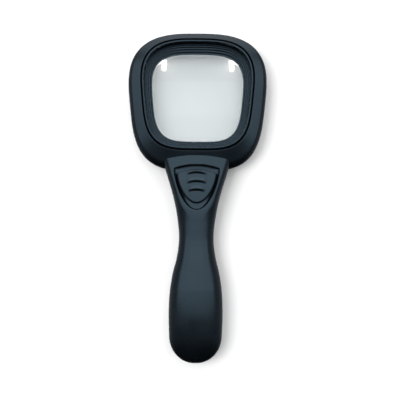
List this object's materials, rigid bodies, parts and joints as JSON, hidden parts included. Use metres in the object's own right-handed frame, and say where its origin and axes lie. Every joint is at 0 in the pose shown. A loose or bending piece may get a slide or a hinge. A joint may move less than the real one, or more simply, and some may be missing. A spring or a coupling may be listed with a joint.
{
  "type": "magnifying glass",
  "caption": "Hand-held magnifying glass with a rounded-square lens, stepped lens well, lit head, thumb slide switch and sliding battery cover.",
  "frame": {"origin": "on the surface the glass lies on, under the middle of its bounding box", "axes": "+Y runs along the handle towards the head, +Z is the side the user looks from, +X is to the user's right when looking down at it with the handle below the head"},
  "size_m": [0.0904, 0.215, 0.024],
  "materials": {
    "satin_black": "satin moulded plastic with fine spark texture",
    "bezel_black": "satin",
    "inner_black": "matte",
    "clear_acrylic": "polished",
    "clear_epoxy": "polished",
    "nickel": "plated",
    "cell_jacket": "glossy film",
    "board_green": "solder mask",
    "resistor_tan": "lacquered",
    "switch_housing": "moulded",
    "red_insulation": "moulded",
    "black_insulation": "moulded",
    "zinc_steel": "zinc plated"
  },
  "bodies": {
    "magnifier": {"head_front_shell": "satin_black", "head_rear_shell": "satin_black", "stepped_bezel": "bezel_black", "lens": "clear_acrylic", "led_left": "clear_epoxy", "led_right": "clear_epoxy", "led_left_wire_positive": "red_insulation", "led_left_wire_negative": "black_insulation", "led_right_wire_positive": "red_insulation", "led_right_wire_negative": "black_insulation", "handle_front_shell": "satin_black", "handle_rear_shell": "satin_black", "switch_body": "switch_housing", "circuit_board": "board_green", "resistor": "resistor_tan", "battery_tray": "inner_black", "contact_negative": "nickel", "contact_positive": "nickel", "contact_bridge": "nickel", "spring_negative": "nickel", "spring_bridge": "nickel", "battery_left": "cell_jacket", "battery_right": "cell_jacket", "battery_wire_positive": "red_insulation", "battery_wire_negative": "black_insulation", "head_screw_upper_right": "zinc_steel", "head_screw_upper_left": "zinc_steel", "head_screw_lower_left": "zinc_steel", "head_screw_lower_right": "zinc_steel", "neck_screw": "zinc_steel", "tongue_screw_left": "zinc_steel", "tongue_screw_right": "zinc_steel"},
    "switch_slider": {"slide_button": "satin_black", "switch_knob": "inner_black"},
    "cover": {"battery_cover": "satin_black"}
  },
  "joints": [
    {"name": "switch_slide", "type": "slide", "parent": "magnifier", "child": "switch_slider", "axis": [0, 0.999, -0.0454], "range_m": [-0.0025, 0.0025]},
    {"name": "cover_slide", "type": "slide", "parent": "magnifier", "child": "cover", "axis": [0, -1, 0], "range_m": [0, 0.062]}
  ]
}
